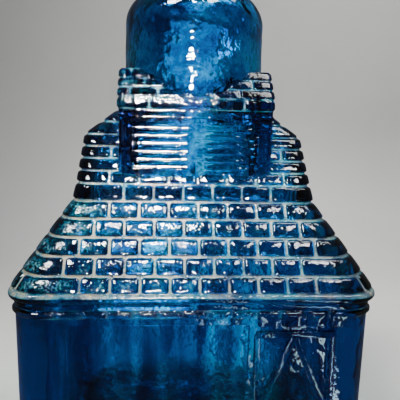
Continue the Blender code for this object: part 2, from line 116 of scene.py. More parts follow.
# Shares of a joint's reach, a brick's rounded edge and a course that get a station or a level
JOINT_SPREAD = (0.15, 0.3, 0.44, 0.58, 0.72, 0.86, 1.0)
EDGE_SHARES = (0.0, 0.14, 0.28, 0.42, 0.56, 0.7, 0.85, 1.0)
FACE_SHARES = (0.36, 0.5, 0.64)

# Worn bloom on the bricks' faces, which also carries a painted sheen: least share, and where the
# painted sheen fades to the right and to the back, away from the light at the front left
BLOOM_LEAST = 0.4
SHEEN_RIGHT = 0.030
SHEEN_FADE_X = 0.060
SHEEN_BACK = 0.005
SHEEN_FADE_Y = 0.010

# Steep course, wings and tower
STEEP_TOP_Z = 0.0290
STEEP_RUN = 0.0018
WING_HALF_WIDTH = 0.0354
WING_LEAN = 0.00025
WING_CORNER = 0.0040
WING_COURSES = 4
WING_RISE = 0.0036
WING_RUN = 0.0028
HIP_COURSES = 2
HIP_RISE = 0.0040
HIP_RUN_X = 0.0050
HIP_RUN_Y = 0.0031
WING_FROST = 0.85
WING_BLOOM = 0.2
TOWER_HALF_WIDTH = 0.0236
TOWER_HALF_DEPTH = 0.0236
TOWER_CORNER = 0.0022
TOWER_FOOT_Z = 0.0260
TOWER_TOP_Z = 0.0549
TOWER_BAND = 0.0036
TOWER_BRICK_PITCH = 0.0286
TOWER_ROOF_RISE = 0.0030
TOWER_ROOF_RUN = 0.0029
TOWER_ROOF_COURSES = 3
TOWER_PROUD = 0.0005
TOWER_FROST = 0.65
TOWER_BLOOM = 0.6
TOWER_ROOM_CORNER = 0.0080
TOWER_ROOM_STOPS = ((0.0250, 1.0), (0.0440, 1.0), (0.0480, 0.96), (0.0510, 0.86), (0.0530, 0.74))
LINTEL_Z = 0.0490
LINTEL_HEIGHT = 0.0010
LINTEL_PROUD = 0.0003
LINTEL_FOOT = 0.0002
LINTEL_EDGE = 0.0003
LINTEL_FROSTS = (0.2, 0.35)
LOUVRE_COUNT = 6
LOUVRE_BOTTOM_Z = 0.0330
LOUVRE_PITCH = 0.0024
LOUVRE_DEPTH = 0.0013
LOUVRE_BEHIND_FACE = 0.0002
LOUVRE_SHARES = (0.0, 0.1, 0.25, 0.5, 0.75, 0.86, 0.94)
LOUVRE_SUNK = (0.12, 0.0, 0.05, 0.35, 0.75, 1.0, 0.8)
WINDOW_NEAR = 0.0027
WINDOW_FAR = 0.0192

# Dome, neck and lip
DOME_RADIUS = 0.0231
SHOULDER_Z = 0.0790
SHOULDER_RADIUS = 0.0110
SHOULDER_TURN = 78
ROOM_SHOULDER_TURN = 80
NECK_RADIUS = 0.0125
NECK_BORE = 0.0092
NECK_FILLET = 0.0030
NECK_TOP_Z = 0.1130
LIP_RADIUS = 0.0158
LIP_HEIGHT = 0.0075
LIP_END = 80
LIP_FULLNESS = 0.7
LIP_UNDERCUT = 0.0006
BORE_EDGE = 0.0004
BORE_FLARE = 0.0010
BORE_FLARE_HEIGHT = 0.0012
TURNED_STEPS = 160

# Front panel and door
PANEL_LEFT = -0.0365
PANEL_RIGHT = 0.0152
PANEL_TOP = -0.0087
PANEL_BOTTOM = -0.0600
PANEL_DEPTH = 0.0006
DOOR_CENTRE = 0.0285
DOOR_WIDTH = 0.0210
DOOR_TOP = -0.0125
DOOR_BOTTOM = -0.0600
DOOR_DEPTH = 0.0012
FRAME_WIDTH = 0.0020
FRAME_PROUD = 0.0006
BOARD_WIDTH = 0.0020
BAR_BED = 0.0004
BAR_BED_STEP = 0.00005
BAR_ROUND = 0.0003
POCKET_ROUND = 0.0004
CUTTER_REACH = 0.0040

# Unevenness of the moulded glass: (depth, size of a wave), and for the room also its upright squash
DOME_WAVES = ((0.00035, 0.0085), (0.00018, 0.0028))
ROOM_WAVES = (0.00070, 0.0080, 0.7)
DOME_ROOM_WAVES = (0.00050, 0.0060)
WAVE_UPRIGHT = 1.6

# Cork
CORK_TAPER = 0.816
CORK_EDGE = 0.0007
CORK_SEAT = 0.615
CORK_CLEARANCE = 0.0003
CORK_STEPS = 40
CORK_TURNED_STEPS = 96
CORK_CENTRE = 0.002
CORK_TOP_SHARES = (1.0, 0.85, 0.6, 0.3, 0.08)
CORK_PIT = 0.00024
CORK_PIT_SCALE = 900
CORK_PIT_LEAST = 0.15

# Angles between faces, in degrees, beyond which an edge is drawn sharp
GLASS_SHARP = 50
CORK_SHARP = 60

# Camera, fitted to the photograph's outlines; the position is measured from the eave's middle
LENS = 46.8
CAMERA_PLACE = (-0.0106, -0.1815, 0.0478)
CAMERA_PITCH = math.radians(8.5)
CAMERA_YAW = math.radians(4.4)
CAMERA_ROLL = math.radians(1.4)


# Outlines of the levels


def depth_of(half_width):
    return half_width - (EAVE_HALF_WIDTH - EAVE_HALF_DEPTH)


def smooth(value):
    value = min(max(value, 0.0), 1.0)
    return value * value * (3 - 2 * value)


def rounded(share):
    """Height of a brick's rounded edge, from 0 in the joint to 1 on the face."""
    return smooth(share) ** BRICK_FULLNESS


def crowned(share):
    """Height of a face's gentle crown: 0 at both ends of the face and 1 in its middle."""
    return 1 - (1 - 2 * share) ** 2


def proudness(thick, edge, crown):
    return thick * edge * (1 - BRICK_CROWN + BRICK_CROWN * crown)


def stations_between(start, end, joints, pitch, reach, step):
    """(place, edge, crown) along a stretch: even steps, with more of them at each joint."""
    places = {start, end}
    for joint in joints:
        places.update(joint - reach * spread for spread in JOINT_SPREAD)
        places.update(joint + reach * spread for spread in JOINT_SPREAD)
    places = sorted(place for place in places if start <= place <= end)
    filled = []
    for place, after in zip(places, places[1:]):
        parts = max(1, math.ceil((after - place) / step))
        filled += [place + (after - place) * part / parts for part in range(parts)]
    filled.append(end)
    result = []
    for place in filled:
        nearest = min((abs(place - joint) for joint in joints), default=pitch)
        edge = rounded((nearest / reach - JOINT_FLAT) / (1 - JOINT_FLAT))
        result.append((place, edge, crowned(min(0.5, nearest / pitch))))
    return result


def course_stations(ends, pitch, offsets, corner_joints=()):
    """Stations for the front, the right side and one corner, that hold at both ends of a course."""
    reach = JOINT_REACH
    sides = []
    for side, offset in enumerate(offsets):
        limit = min(end[side] - end[2] for end in ends)
        room = limit - reach * JOINT_MARGIN
        first = math.ceil((-room - offset) / pitch)
        last = math.floor((room - offset) / pitch)
        joints = [offset + pitch * index for index in range(first, last + 1)]
        fixed = max((abs(joint) + reach for joint in joints), default=0.0)
        stations = stations_between(-limit, limit, joints, pitch, reach, STATION_STEP)
        sides.append((stations, fixed, limit))
    degrees = 90.0 / (sum(end[2] for end in ends) / 2 * math.pi / 2)
    measures = (pitch * degrees, reach * degrees, STATION_STEP * degrees * 0.5)
    corner = stations_between(-90.0, 0.0, corner_joints, *measures)
    return sides[0], sides[1], corner[1:-1]


def stretch(place, fixed, limit, straight):
    """Keeps the places with joints where they are and stretches only the ends of a side."""
    if abs(place) <= fixed:
        return place
    share = (abs(place) - fixed) / (limit - fixed)
    return math.copysign(fixed + share * (straight - fixed), place)


def side_ring(half_length, distance, radius, side, corner, thick, least):
    """One side at y = -distance and the corner after it: (x, y, edge, crown)."""
    points = []
    straight = half_length - radius
    stations, fixed, limit = side
    for place, edge, crown in stations:
        proud = least + proudness(thick, edge, crown)
        points.append((stretch(place, fixed, limit, straight), -distance - proud, edge, crown))
    centre_y = -(distance - radius)
    for degrees, edge, crown in corner:
        angle = math.radians(degrees)
        reach = radius + least + proudness(thick, edge, crown)
        x = straight + reach * math.cos(angle)
        y = centre_y + reach * math.sin(angle)
        points.append((x, y, edge, crown))
    return points


def ring(half_width, half_depth, radius, stations, thick=0.0, least=0.0):
    """Closed outline with rounded corners, from the left end of the front side on."""
    front = side_ring(half_width, half_depth, radius, stations[0], stations[2], thick, least)
    right = side_ring(half_depth, half_width, radius, stations[1], stations[2], thick, least)
    half = front + [(-y, x, edge, crown) for x, y, edge, crown in right]
    return half + [(-x, -y, edge, crown) for x, y, edge, crown in half]


def plain_stations(steps):
    """Even stations along the flat sides and fine ones round the corners."""
    flat = [(share / steps, 1.0, 0.0) for share in range(-steps, steps + 1)]
    corner = [(-90.0 + 90.0 * index / 14, 1.0, 0.0) for index in range(1, 14)]
    return (flat, 0.0, 1.0), (flat, 0.0, 1.0), corner


# Stacked levels; a level is (height, points) and a point is (x, y, frost, bloom with its painted
# sheen)


def plain_level(height, half_width, half_depth, radius, frost=0.0, steps=4):
    points = ring(half_width, half_depth, radius, plain_stations(steps))
    return height, [(x, y, frost, 0.0) for x, y, edge, crown in points]


def brick_profile(rise):
    """(share of the course, edge, crown) up a course: joint, round lower edge, face, upper edge."""
    lower = [(0.0, 0.0, 0.0)]
    for share in EDGE_SHARES:
        place = (MORTAR_HALF + BRICK_EDGE * share) / rise
        lower.append((place, rounded(share), crowned(place)))
    upper = [(1 - place, edge, crown) for place, edge, crown in lower]
    middle = [(place, 1.0, crowned(place)) for place in FACE_SHARES]
    return lower + middle + list(reversed(upper))


def bloom_and_sheen_share(x, y):
    """Share of the bloom with its painted sheen: full at the front left, where the light falls, less
    on the right and the back.
    """
    left = smooth((SHEEN_RIGHT - x) / SHEEN_FADE_X)
    front = smooth((SHEEN_BACK - y) / SHEEN_FADE_Y)
    return BLOOM_LEAST + (1 - BLOOM_LEAST) * left * front


def rounded_joint(edge, side_edge):
    """Share of mortar: fuller where two joints meet, so that a brick's corners look round."""
    across = 1 - edge
    along = 1 - side_edge
    return min(1.0, across + along + JOINT_MEETING * min(across, along))


def course(low, high, radii, pitch, offsets, thick, corner_joints=(), frost=1.0, bloom_and_sheen=0.0):
    """Levels of one course of raised bricks with mortar sunk between them.

    low and high are (height, half width, half depth); radii are those of the corners there.
    """
    ends = ((low[1], low[2], radii[0]), (high[1], high[2], radii[1]))
    stations = course_stations(ends, pitch, offsets, corner_joints)
    slope = math.hypot(high[0] - low[0], high[2] - low[2])
    levels = []
    for share, edge, crown in brick_profile(slope):
        height, half_width, half_depth = (a + (b - a) * share for a, b in zip(low, high))
        radius = radii[0] + (radii[1] - radii[0]) * share
        proud = proudness(thick, edge, crown)
        points = ring(half_width, half_depth, radius, stations, proud, MORTAR_STEP * (1 - share))
        level = []
        for x, y, side_edge, side_crown in points:
            # The bloom on a face is scaled by a painted sheen, fullest at the front left where the
            # light falls.
            face = bloom_and_sheen * crown * side_crown * bloom_and_sheen_share(x, y)
            level.append((x, y, frost * rounded_joint(edge, side_edge), face))
        levels.append((height, level))
    return levels


def shingle_offsets(index, pitch):
    """Places of a joint on the front and on the sides, half a brick on in every second course."""
    if index % 2 == 0:
        return JOINT_OFFSET, 0.0
    return JOINT_OFFSET - pitch / 2, pitch / 2


def wall_half_width(height):
    return WALL_HALF_WIDTH + WALL_TAPER * height


def wall_size(height):
    return wall_half_width(height), depth_of(wall_half_width(height))


def wall_levels():
    """Rounded foot, then the straight wall up to the row of bricks."""
    levels = []
    foot = -EAVE_HEIGHT
    edge_steps = 5
    for step in range(edge_steps + 1):
        angle = math.radians(90 * step / edge_steps)
        inset = BASE_EDGE * (1 - math.sin(angle))
        width = wall_half_width(foot) - inset
        lift = BASE_EDGE * (1 - math.cos(angle))
        levels.append(plain_level(foot + lift, width, depth_of(width), WALL_CORNER - inset))
    wall_steps = 8
    for step in range(1, wall_steps + 1):
        height = foot + (DENTIL_TOP - DENTIL_HEIGHT - foot) * step / wall_steps
        levels.append(plain_level(height, *wall_size(height), WALL_CORNER))
    return levels


def dentil_levels():
    low = DENTIL_TOP - DENTIL_HEIGHT
    ends = ((low, *wall_size(low)), (DENTIL_TOP, *wall_size(DENTIL_TOP)))
    radii = (WALL_CORNER, WALL_CORNER)
    offsets = (DENTIL_OFFSET, 0.0)
    return course(*ends, radii, DENTIL_PITCH, offsets, DENTIL_PROUD, frost=DENTIL_FROST)


def eave_levels():
    """Cove above the bricks, then the half-round nose of the eave with its worn top."""
    levels = []

    def add(height, width, radius, frost=0.0):
        levels.append(plain_level(height, width, depth_of(width), radius, frost, steps=20))

    cove = ((DENTIL_TOP, -MORTAR_STEP), (COVE_FOOT_Z, COVE_FOOT_REACH), (COVE_Z, COVE_REACH))
    for height, overhang in cove:
        add(height, wall_half_width(height) + overhang, WALL_CORNER)
    roll_steps = 12
    for step in range(roll_steps + 1):
        degrees = EAVE_ROLL_START + EAVE_ROLL_TURN * step / roll_steps
        angle = math.radians(degrees)
        width = EAVE_HALF_WIDTH - EAVE_ROLL * (1 - math.cos(angle))
        worn = smooth((degrees - EAVE_WORN_START) / EAVE_WORN_TURN)
        add(EAVE_ROLL_Z + EAVE_ROLL * math.sin(angle), width, EAVE_CORNER, EAVE_ROLL_FROST * worn)
    add(FIRST_COURSE_Z, FIRST_COURSE_HALF_WIDTH, EAVE_CORNER, EAVE_TOP_FROST)
    return levels


def corner_radius(height):
    share = min(max(height / STEEP_TOP_Z, 0.0), 1.0)
    return EAVE_CORNER + (WING_CORNER - EAVE_CORNER) * share


def roof_stops():
    """(height, half width, half depth) of the joints between the courses of the roof."""
    stops = [(FIRST_COURSE_Z, FIRST_COURSE_HALF_WIDTH)]
    for index, half_width in enumerate(COURSE_HALF_WIDTHS):
        stops.append((SECOND_COURSE_Z + COURSE_RISE * index, half_width))
    return [(height, width, depth_of(width)) for height, width in stops]


def wing_stops():
    """The same for the steep course, the wings' courses and the small hips on top of them."""
    stops = [roof_stops()[-1]]
    stops.append((STEEP_TOP_Z, WING_HALF_WIDTH, stops[0][2] - STEEP_RUN))
    courses = [(WING_RISE, WING_LEAN, WING_RUN)] * WING_COURSES
    courses += [(HIP_RISE, HIP_RUN_X, HIP_RUN_Y)] * HIP_COURSES
    for rise, run_x, run_y in courses:
        height, half_width, half_depth = stops[-1]
        stops.append((height + rise, half_width - run_x, half_depth - run_y))
    return stops


def roof_levels():
    """Courses of the roof and the wings; the joint on the eave is worn barer than the rest."""
    levels = []
    stops = roof_stops()
    for index, (low, high) in enumerate(zip(stops, stops[1:])):
        pitch = SHINGLE_PITCH + PITCH_GROWTH * index
        radii = (corner_radius(low[0]), corner_radius(high[0]))
        corner_joints = FIRST_CORNER_JOINTS if index == 0 else ()
        offsets = shingle_offsets(index, pitch)
        levels += course(low, high, radii, pitch, offsets, BRICK_PROUD, corner_joints, bloom_and_sheen=1.0)
    rings_on_eave = 3
    for height, points in levels[:rings_on_eave]:
        points[:] = [(x, y, frost * EAVE_FROST, bloom_and_sheen) for x, y, frost, bloom_and_sheen in points]
    stops = wing_stops()
    first = len(COURSE_HALF_WIDTHS)
    pitch = SHINGLE_PITCH + PITCH_GROWTH * first
    finish = {"frost": WING_FROST, "bloom_and_sheen": WING_BLOOM}
    for index, (low, high) in enumerate(zip(stops, stops[1:]), start=first):
        offsets = shingle_offsets(index, pitch)
        radii = (WING_CORNER, WING_CORNER)
        levels += course(low, high, radii, pitch, offsets, BRICK_PROUD, **finish)
    return levels


def tower_levels():
    """Plain tower with a lintel over the windows, a brick band and the tower's own roof."""

    def plain(height, proud=0.0, frost=0.0):
        size = (TOWER_HALF_WIDTH + proud, TOWER_HALF_DEPTH + proud)
        return plain_level(height, *size, TOWER_CORNER, frost)

    top = LINTEL_Z + LINTEL_HEIGHT
    band_foot = TOWER_TOP_Z - TOWER_BAND
    levels = [
        plain(TOWER_FOOT_Z),
        plain(LINTEL_Z - LINTEL_FOOT),
        plain(LINTEL_Z, LINTEL_PROUD, LINTEL_FROSTS[0]),
        plain(top - LINTEL_EDGE, LINTEL_PROUD, LINTEL_FROSTS[1]),
        plain(top),
        plain(band_foot),
    ]
    stops = [(band_foot, TOWER_HALF_DEPTH), (TOWER_TOP_Z, TOWER_HALF_DEPTH)]
    for index in range(TOWER_ROOF_COURSES):
        height, half_depth = stops[-1]
        stops.append((height + TOWER_ROOF_RISE, half_depth - TOWER_ROOF_RUN))
    stops = [(height, TOWER_HALF_WIDTH, half_depth) for height, half_depth in stops]
    radii = (TOWER_CORNER, TOWER_CORNER)
    finish = {"frost": TOWER_FROST, "bloom_and_sheen": TOWER_BLOOM}
    for index, (low, high) in enumerate(zip(stops, stops[1:])):
        pitch = TOWER_BRICK_PITCH if index == 0 else SHINGLE_PITCH
        offsets = (pitch / 2, pitch / 2) if index == 0 else shingle_offsets(index, pitch)
        levels += course(low, high, radii, pitch, offsets, TOWER_PROUD, **finish)
    return levels


# Meshes


def inside_ring(points, loop):
    """For each level point, whether it lies inside the closed loop."""
    x1, y1 = loop[:, 0], loop[:, 1]
    x2, y2 = np.roll(x1, -1), np.roll(y1, -1)
    px, py = points[:, :1], points[:, 1:]
    crosses = (y1 > py) != (y2 > py)
    with np.errstate(divide="ignore", invalid="ignore"):
        at = x1 + (py - y1) / (y2 - y1) * (x2 - x1)
    return (crosses & (px < at)).sum(axis=1) % 2 == 1


def ledge(mesh, lower, upper):
    """Level ledge between two rings at one height that have different points."""
    verts = list(lower) + list(upper)
    places = [vert.co.to_2d() for vert in verts]
    edges = []
    for first, count in ((0, len(lower)), (len(lower), len(upper))):
        edges += [(first + index, first + (index + 1) % count) for index in range(count)]
    triangles = np.array(delaunay_2d_cdt(places, edges, [], 0, 1e-9)[2])
    flat = np.array([(place.x, place.y) for place in places])
    middles = flat[triangles].mean(axis=1)
    kept = inside_ring(middles, flat[: len(lower)]) != inside_ring(middles, flat[len(lower):])
    for triangle in triangles[kept]:
        mesh.faces.new([verts[index] for index in triangle])


def bridge(mesh, lower, upper):
    """Faces between two rings with the same number of points."""
    count = len(lower)
    for index in range(count):
        after = (index + 1) % count
        mesh.faces.new((lower[index], lower[after], upper[after], upper[index]))


def linked_object(mesh, name):
    data = bpy.data.meshes.new(name)
    mesh.to_mesh(data)
    mesh.free()
    made = bpy.data.objects.new(name, data)
    bpy.context.scene.collection.objects.link(made)
    return made


def solid_object(mesh, name):
    bmesh.ops.recalc_face_normals(mesh, faces=mesh.faces)
    return linked_object(mesh, name)


def stack_object(name, levels):
    """Closed solid through the levels, with frost and the bloom with its painted sheen kept at its
    points.
    """
    mesh = bmesh.new()
    frost_layer = mesh.verts.layers.float.new("frost")
    bloom_and_sheen_layer = mesh.verts.layers.float.new("bloom_and_sheen")
    rings = []
    for height, points in levels:
        verts = []
        for x, y, frost, bloom_and_sheen in points:
            vert = mesh.verts.new((x, y, EAVE_HEIGHT + height))
            vert[frost_layer] = frost
            vert[bloom_and_sheen_layer] = bloom_and_sheen
            verts.append(vert)
        rings.append(verts)
    mesh.faces.new(list(reversed(rings[0])))
    for lower, upper in zip(rings, rings[1:]):
        if abs(lower[0].co.z - upper[0].co.z) < 1e-7:
            ledge(mesh, lower, upper)
        else:
            bridge(mesh, lower, upper)
    mesh.faces.new(rings[-1])
    return solid_object(mesh, name)


def turned_object(name, profile, steps):
    """Solid turned round Z from (radius, height) points, bottom first."""
    mesh = bmesh.new()
    angles = [2 * math.pi * step / steps for step in range(steps)]
    rings = []
    for radius, height in profile:
        places = [(radius * math.cos(angle), radius * math.sin(angle), height) for angle in angles]
        rings.append([mesh.verts.new(place) for place in places])
    mesh.faces.new(list(reversed(rings[0])))
    for lower, upper in zip(rings, rings[1:]):
        bridge(mesh, lower, upper)
    mesh.faces.new(rings[-1])
    return solid_object(mesh, name)


def turned_from_eave(name, profile):
    """Solid turned from points whose heights are measured from the eave."""
    raised = [(radius, EAVE_HEIGHT + height) for radius, height in profile]
    return turned_object(name, raised, TURNED_STEPS)


def arc_points(centre_across, centre_height, radius, start, end, steps):
    points = []
    for step in range(steps + 1):
        angle = math.radians(start + (end - start) * step / steps)
        across = centre_across + radius * math.cos(angle)
        points.append((across, centre_height + radius * math.sin(angle)))
    return points


def dome_wall(radius):
    """Even heights up the dome's straight wall, up to its shoulder."""
    steps = 40
    rise = SHOULDER_Z - TOWER_FOOT_Z
    return [(radius, TOWER_FOOT_Z + rise * step / steps) for step in range(steps)]


def dome_object():
    """Dome with a round shoulder, a short neck and a rolled lip."""
    centre = DOME_RADIUS - SHOULDER_RADIUS
    profile = dome_wall(DOME_RADIUS)
    profile += arc_points(centre, SHOULDER_Z, SHOULDER_RADIUS, 0, SHOULDER_TURN, 16)
    foot = SHOULDER_Z + SHOULDER_RADIUS
    fillet_z = foot + NECK_FILLET * 1.1
    profile += arc_points(NECK_RADIUS + NECK_FILLET, fillet_z, NECK_FILLET, 240, 180, 8)
    lip_z = NECK_TOP_Z - LIP_HEIGHT
    profile.append((NECK_RADIUS, (foot + lip_z) / 2))
    profile.append((NECK_RADIUS, lip_z - LIP_UNDERCUT))
    middle = NECK_TOP_Z - LIP_HEIGHT / 2
    tall = LIP_HEIGHT / 2 / math.sin(math.radians(LIP_END))
    for across, up in arc_points(0.0, 0.0, 1.0, -LIP_END, LIP_END, 12):
        radius = NECK_RADIUS + (LIP_RADIUS - NECK_RADIUS) * across ** LIP_FULLNESS
        profile.append((radius, middle + tall * up))
    return turned_from_eave("dome", profile)


def finer(levels, parts):
    """Adds even levels between those given, which all have the same points."""
    result = []
    for (low, points), (high, others) in zip(levels, levels[1:]):
        for part in range(parts):
            share = part / parts
            pairs = [zip(near, far) for near, far in zip(points, others)]
            between = [tuple(a + (b - a) * share for a, b in pair) for pair in pairs]
            result.append((low + (high - low) * share, between))
    return result + [levels[-1]]


def house_cavity():
    """Room inside the walls, the roof and the wings, with a rounded edge at its floor."""
    levels = []

    def inside(height, half_width, half_depth, radius):
        levels.append(plain_level(height, half_width - GLASS, half_depth - GLASS, radius, steps=24))

    corner = WALL_CORNER + ROOM_CORNER_EXTRA
    floor = PUSH_UP + GLASS - EAVE_HEIGHT
    edge_steps = 3
    for step in range(edge_steps + 1):
        angle = math.radians(90 * step / edge_steps)
        width = wall_half_width(-EAVE_HEIGHT) - FLOOR_EDGE * (1 - math.sin(angle))
        lift = FLOOR_EDGE * 0.7 * (1 - math.cos(angle))
        inside(floor + lift, width, depth_of(width), corner)
    edge_top = floor + FLOOR_EDGE
    wall_steps = 10
    for step in range(1, wall_steps + 1):
        height = edge_top + (DENTIL_TOP - edge_top) * step / wall_steps
        inside(height, *wall_size(height), corner)
    for height, half_width, half_depth in roof_stops()[1:]:
        narrow = half_width - GLASS * ROOM_ROOF_SHARE
        inside(height, narrow, depth_of(narrow), corner_radius(height))
    lower = GLASS * ROOM_WING_SHARE
    for height, half_width, half_depth in wing_stops()[1:]:
        inside(height - lower, half_width, half_depth - lower, WING_CORNER * 0.8)
    return stack_object("house_cavity", finer(levels, 4))


def dome_cavity():
    """Room inside the dome and the neck's bore, flared a little at the lip."""
    centre = DOME_RADIUS - SHOULDER_RADIUS
    profile = dome_wall(DOME_RADIUS - GLASS)
    inner_radius = SHOULDER_RADIUS - GLASS
    profile += arc_points(centre, SHOULDER_Z, inner_radius, 0, ROOM_SHOULDER_TURN, 14)
    inner_end = SHOULDER_Z + SHOULDER_RADIUS - GLASS * 0.6
    profile += [
        (NECK_BORE + BORE_EDGE, inner_end - BORE_EDGE * 0.75),
        (NECK_BORE, inner_end + BORE_EDGE),
        (NECK_BORE, NECK_TOP_Z - BORE_FLARE_HEIGHT),
        (NECK_BORE + BORE_FLARE, NECK_TOP_Z + BORE_EDGE),
        (NECK_BORE + BORE_FLARE, NECK_TOP_Z + CUTTER_REACH),
    ]
    return turned_from_eave("dome_cavity", profile)


def tower_cavity():
    """Squared room behind the louvred windows, so that the glass is even there."""
    levels = []
    for height, share in TOWER_ROOM_STOPS:
        wide = (TOWER_HALF_WIDTH - GLASS) * share
        levels.append(plain_level(height, wide, wide, TOWER_ROOM_CORNER, steps=12))
    return stack_object("tower_cavity", levels)


def push_up_object():
    """Hollow under the bottle, inside the ring that it stands on."""
    foot_width = wall_half_width(-EAVE_HEIGHT) - BEARING_WIDTH
    levels = []

    def add(lift, width):
        levels.append(plain_level(lift - EAVE_HEIGHT, width, depth_of(width), PUSH_UP_CORNER))

    add(-CUTTER_REACH, foot_width)
    steps = 7
    for step in range(steps + 1):
        angle = math.radians(90 * step / steps)
        add(PUSH_UP * math.sin(angle), foot_width - PUSH_UP_RUN * (1 - math.cos(angle)))
    return stack_object("push_up", levels)


# Relief on the front wall and the tower


def prism_object(name, outline_points, place, bevel=0.0):
    """Solid between two ends; place(u, v, end) gives a corner at the end 0 or 1."""
    mesh = bmesh.new()
    near = [mesh.verts.new(place(u, v, 0)) for u, v in outline_points]
    far = [mesh.verts.new(place(u, v, 1)) for u, v in outline_points]
    mesh.faces.new(near)
    mesh.faces.new(list(reversed(far)))
    bridge(mesh, near, far)
    if bevel:
        edges = mesh.edges[:]
        bmesh.ops.bevel(mesh, geom=edges, offset=bevel, segments=3, profile=0.5, affect="EDGES")
    return solid_object(mesh, name)


def louvre_cutter(facing, hand):
    """Pocket of one window with a rounded tooth for each louvre; facing and hand are -1 or +1."""
    face = TOWER_HALF_DEPTH - LOUVRE_BEHIND_FACE
    outside = TOWER_HALF_DEPTH + CUTTER_REACH
    points = [(outside, LOUVRE_BOTTOM_Z)]
    for index in range(LOUVRE_COUNT):
        low = LOUVRE_BOTTOM_Z + LOUVRE_PITCH * index
        for share, sunk in zip(LOUVRE_SHARES, LOUVRE_SUNK):
            points.append((face - LOUVRE_DEPTH * sunk, low + LOUVRE_PITCH * share))
    top = LOUVRE_BOTTOM_Z + LOUVRE_PITCH * LOUVRE_COUNT
    points += [(face, top), (outside, top)]

    def place(distance, height, side):
        return (hand * (WINDOW_NEAR, WINDOW_FAR)[side], facing * distance, EAVE_HEIGHT + height)

    return prism_object("louvre_pocket", points, place)


def on_front_wall(outward, inward):
    """Place of a corner on the tapered front wall, this far out or in."""

    def place(across, height, side):
        distance = depth_of(wall_half_width(height)) + (outward, inward)[side]
        return (across, -distance, EAVE_HEIGHT + height)

    return place


def box_outline(left, right, bottom, top):
    return [(left, bottom), (right, bottom), (right, top), (left, top)]


def bar_outline(start, end, width):
    along = Vector((end[0] - start[0], end[1] - start[1])).normalized()
    across = Vector((-along.y, along.x)) * (width / 2)
    corners = ((start, -1), (end, -1), (end, 1), (start, 1))
    return [(x + across.x * side, y + across.y * side) for (x, y), side in corners]


def wall_cutters():
    """Pockets of the bare panel and of the door."""
    half = DOOR_WIDTH / 2
    panel = box_outline(PANEL_LEFT, PANEL_RIGHT, PANEL_BOTTOM, PANEL_TOP)
    door = box_outline(DOOR_CENTRE - half, DOOR_CENTRE + half, DOOR_BOTTOM, DOOR_TOP)
    pockets = (("panel_pocket", panel, PANEL_DEPTH), ("door_pocket", door, DOOR_DEPTH))
    return [
        prism_object(name, outline, on_front_wall(CUTTER_REACH, -depth), POCKET_ROUND)
        for name, outline, depth in pockets
    ]


def door_row():
    """Makes the bricks under the eave taller over the door, as separate rounded blocks."""
    low = DENTIL_TOP - DOOR_ROW_HEIGHT
    high = DENTIL_TOP - DENTIL_HEIGHT * 0.4
    first = DENTIL_OFFSET + DENTIL_PITCH * 2
    place = on_front_wall(DENTIL_PROUD * 0.9, -DOOR_ROW_BED)
    blocks = []
    for index in range(DOOR_ROW_BRICKS):
        left = first + DENTIL_PITCH * index + DOOR_ROW_GAP / 2
        block = box_outline(left, left + DENTIL_PITCH - DOOR_ROW_GAP, low, high)
        blocks.append(prism_object("door_block", block, place, DOOR_ROW_ROUND))
    return blocks


def door_bars():
    """Frame of the door, its middle rail and the diagonal braces, each on a bed of its own."""
    half = DOOR_WIDTH / 2
    left = DOOR_CENTRE - half
    right = DOOR_CENTRE + half
    middle = (DOOR_TOP + DOOR_BOTTOM) / 2
    edge = FRAME_WIDTH / 2
    head = DOOR_TOP + edge
    bars = [
        ((left - edge / 2, DOOR_BOTTOM), (left - edge / 2, head), FRAME_WIDTH, FRAME_PROUD),
        ((right + edge / 2, DOOR_BOTTOM), (right + edge / 2, head), FRAME_WIDTH, FRAME_PROUD),
        ((left - edge, head), (right + edge, head), FRAME_WIDTH, FRAME_PROUD * 1.5),
        ((left, middle), (right, middle), BOARD_WIDTH, -DOOR_DEPTH * 0.25),
    ]
    for low, high in ((middle, DOOR_TOP), (DOOR_BOTTOM, middle)):
        bars.append(((DOOR_CENTRE, high), (left, low), BOARD_WIDTH, -DOOR_DEPTH * 0.4))
        bars.append(((DOOR_CENTRE, high), (right, low), BOARD_WIDTH, -DOOR_DEPTH * 0.55))
    made = []
    for index, (start, end, width, proud) in enumerate(bars):
        bed = -DOOR_DEPTH - BAR_BED - BAR_BED_STEP * index
        outline = bar_outline(start, end, width)
        made.append(prism_object("door_bar", outline, on_front_wall(proud, bed), BAR_ROUND))
    return made


# Joining


def combine(body, tools, operation):
    """One Boolean with all the tools at once, which are then removed."""
    folder = bpy.data.collections.new(operation.lower())
    bpy.context.scene.collection.children.link(folder)
    for tool in tools:
        bpy.context.scene.collection.objects.unlink(tool)
        folder.objects.link(tool)
    modifier = body.modifiers.new(operation.lower(), "BOOLEAN")
    modifier.operation = operation
    modifier.solver = "MANIFOLD"
    modifier.operand_type = "COLLECTION"
    modifier.collection = folder
    bpy.context.view_layer.update()
    graph = bpy.context.evaluated_depsgraph_get()
    data = bpy.data.meshes.new_from_object(body.evaluated_get(graph))
    body.modifiers.clear()
    body.data = data
    for tool in tools:
        bpy.data.objects.remove(tool, do_unlink=True)
    bpy.data.collections.remove(folder)


def wave_surface(body, amount, size, upright=WAVE_UPRIGHT):
    """Slow unevenness of the moulded glass, always inward."""
    data = body.data
    normals = [vert.normal.copy() for vert in data.vertices]
    for vert, normal in zip(data.vertices, normals):
        stretched = Vector((vert.co.x, vert.co.y, vert.co.z * upright)) / size
        vert.co -= normal * (amount * (0.5 + 0.5 * noise.noise(stretched)))
    data.update()


